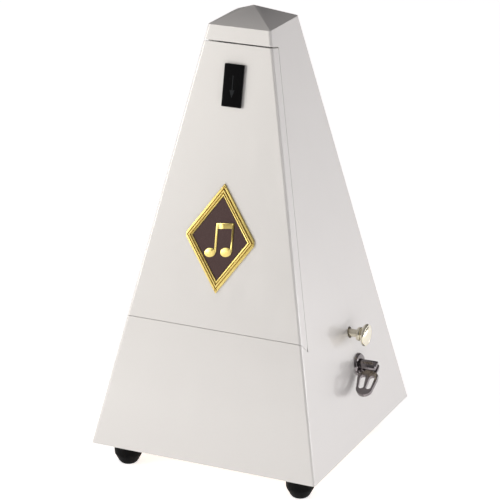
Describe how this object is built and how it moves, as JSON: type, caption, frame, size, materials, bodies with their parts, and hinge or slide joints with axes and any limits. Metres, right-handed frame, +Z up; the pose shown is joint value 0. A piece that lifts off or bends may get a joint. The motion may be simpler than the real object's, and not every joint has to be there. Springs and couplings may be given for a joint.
{
  "type": "metronome",
  "caption": "Wind-up bell metronome in a tapering four-sided case, with a lift-off door, swinging rod, sliding weight, folding key and bell selector.",
  "frame": {"origin": "on the resting plane under the four feet, straight below the roof's apex", "axes": "+Z up, -Y out of the front with the door and badge, +X out of the side with the winding key and bell knob"},
  "size_m": [0.1208, 0.116, 0.2195],
  "materials": {
    "lacquer": "satin",
    "pale_wood": "matte",
    "rubber": "matte",
    "black_plastic": "gloss",
    "steel": "satin",
    "bell_steel": "polished",
    "blued_steel": "satin",
    "brass": "satin",
    "badge_gold": "satin",
    "badge_brown": "gloss",
    "scale_gold": "satin",
    "scale_ink": "matte",
    "bob_iron": "matte",
    "pale_nickel": "polished",
    "dark_chrome": "polished"
  },
  "bodies": {
    "case": {"left_wall": "lacquer", "right_wall": "lacquer", "back_wall": "lacquer", "front_panel": "lacquer", "base_board": "pale_wood", "corner_blocks": "pale_wood", "head_block": "lacquer", "roof_cap": "lacquer", "feet": "rubber", "foot_screws": "steel", "scale_board": "pale_wood", "scale_plate": "scale_gold", "scale_marks": "scale_ink", "rod_hook": "steel", "left_plate": "brass", "right_plate": "brass", "pillars": "brass", "pillar_screws": "steel", "movement_screws": "steel", "verge_cocks": "brass", "mainspring": "blued_steel", "key_bush": "dark_chrome", "cam_bridge": "brass", "bell": "bell_steel", "bell_post": "steel", "bell_nut": "brass", "rod_bush": "brass"},
    "door": {"door": "lacquer", "catch_keeper": "steel", "keeper_screws": "steel", "badge_frame": "badge_gold", "badge_field": "badge_brown", "badge_motif": "badge_gold", "badge_pins": "badge_gold"},
    "catch": {"catch_slide": "black_plastic"},
    "pendulum": {"pendulum_rod": "steel", "pendulum_hub": "brass", "lower_rod": "steel", "lower_bob": "bob_iron", "verge": "steel"},
    "weight": {"sliding_weight": "brass", "weight_spring": "steel"},
    "escape": {"crown_wheel": "brass", "escape_arbor": "steel", "bell_drive_wheel": "brass"},
    "second": {"second_wheel": "brass", "second_arbor": "steel"},
    "great": {"great_wheel": "brass", "click_screw": "steel"},
    "click": {"click": "steel"},
    "winding": {"winding_arbor": "steel", "ratchet_wheel": "steel", "key_stem": "dark_chrome", "key_pin": "dark_chrome"},
    "bow": {"key_bow": "dark_chrome"},
    "cams": {"cam_stack": "steel", "cam_wheel": "brass"},
    "selector": {"bell_rod": "pale_nickel", "bell_knob": "pale_nickel"},
    "hammer": {"hammer": "steel"}
  },
  "joints": [
    {"name": "door_tilt", "type": "hinge", "parent": "case", "child": "door", "pos_m": [0, -0.04469, 0.07541], "axis": [1, 0, 0], "range_deg": [0, 70]},
    {"name": "catch_slide", "type": "slide", "parent": "door", "child": "catch", "axis": [0, 0.2069, 0.9784], "range_m": [0, 0.0035]},
    {"name": "pendulum_swing", "type": "hinge", "parent": "case", "child": "pendulum", "pos_m": [0, -0.03862, 0.07995], "axis": [0, 0.9784, -0.2069], "range_deg": [-8, 8]},
    {"name": "weight_slide", "type": "slide", "parent": "pendulum", "child": "weight", "axis": [0, 0.2069, 0.9784], "range_m": [-0.036, 0.028]},
    {"name": "escape_turn", "type": "hinge", "parent": "case", "child": "escape", "pos_m": [0, -0.01108, 0.07004], "axis": [1, 0, 0], "continuous": true},
    {"name": "second_turn", "type": "hinge", "parent": "case", "child": "second", "pos_m": [0, 0.01063, 0.07145], "axis": [1, 0, 0], "continuous": true},
    {"name": "great_turn", "type": "hinge", "parent": "case", "child": "great", "pos_m": [0, 0.0102, 0.0461], "axis": [1, 0, 0], "continuous": true},
    {"name": "cam_turn", "type": "hinge", "parent": "case", "child": "cams", "pos_m": [0, -0.00062, 0.07881], "axis": [1, 0, 0], "continuous": true},
    {"name": "click_lift", "type": "hinge", "parent": "great", "child": "click", "pos_m": [-0.011, 0.00555, 0.0576], "axis": [1, 0, 0], "range_deg": [0, 10]},
    {"name": "winding_turn", "type": "hinge", "parent": "great", "child": "winding", "pos_m": [0, 0.0102, 0.0461], "axis": [1, 0, 0], "range_deg": [-80, 215]},
    {"name": "key_fold", "type": "hinge", "parent": "winding", "child": "bow", "pos_m": [0.0573, 0.0102, 0.0461], "axis": [0, -0.5299, 0.848], "range_deg": [0, 160]},
    {"name": "bell_select", "type": "slide", "parent": "case", "child": "selector", "axis": [1, 0, 0], "range_m": [0, 0.01]},
    {"name": "hammer_swing", "type": "hinge", "parent": "selector", "child": "hammer", "pos_m": [0.023, 0.0069, 0.0633], "axis": [1, 0, 0], "range_deg": [-10, 5]}
  ],
  "couplings": [
    {"joint": "second_turn", "follows": "escape_turn", "ratio": -0.2},
    {"joint": "great_turn", "follows": "escape_turn", "ratio": 0.033333},
    {"joint": "cam_turn", "follows": "escape_turn", "ratio": -1.25}
  ]
}
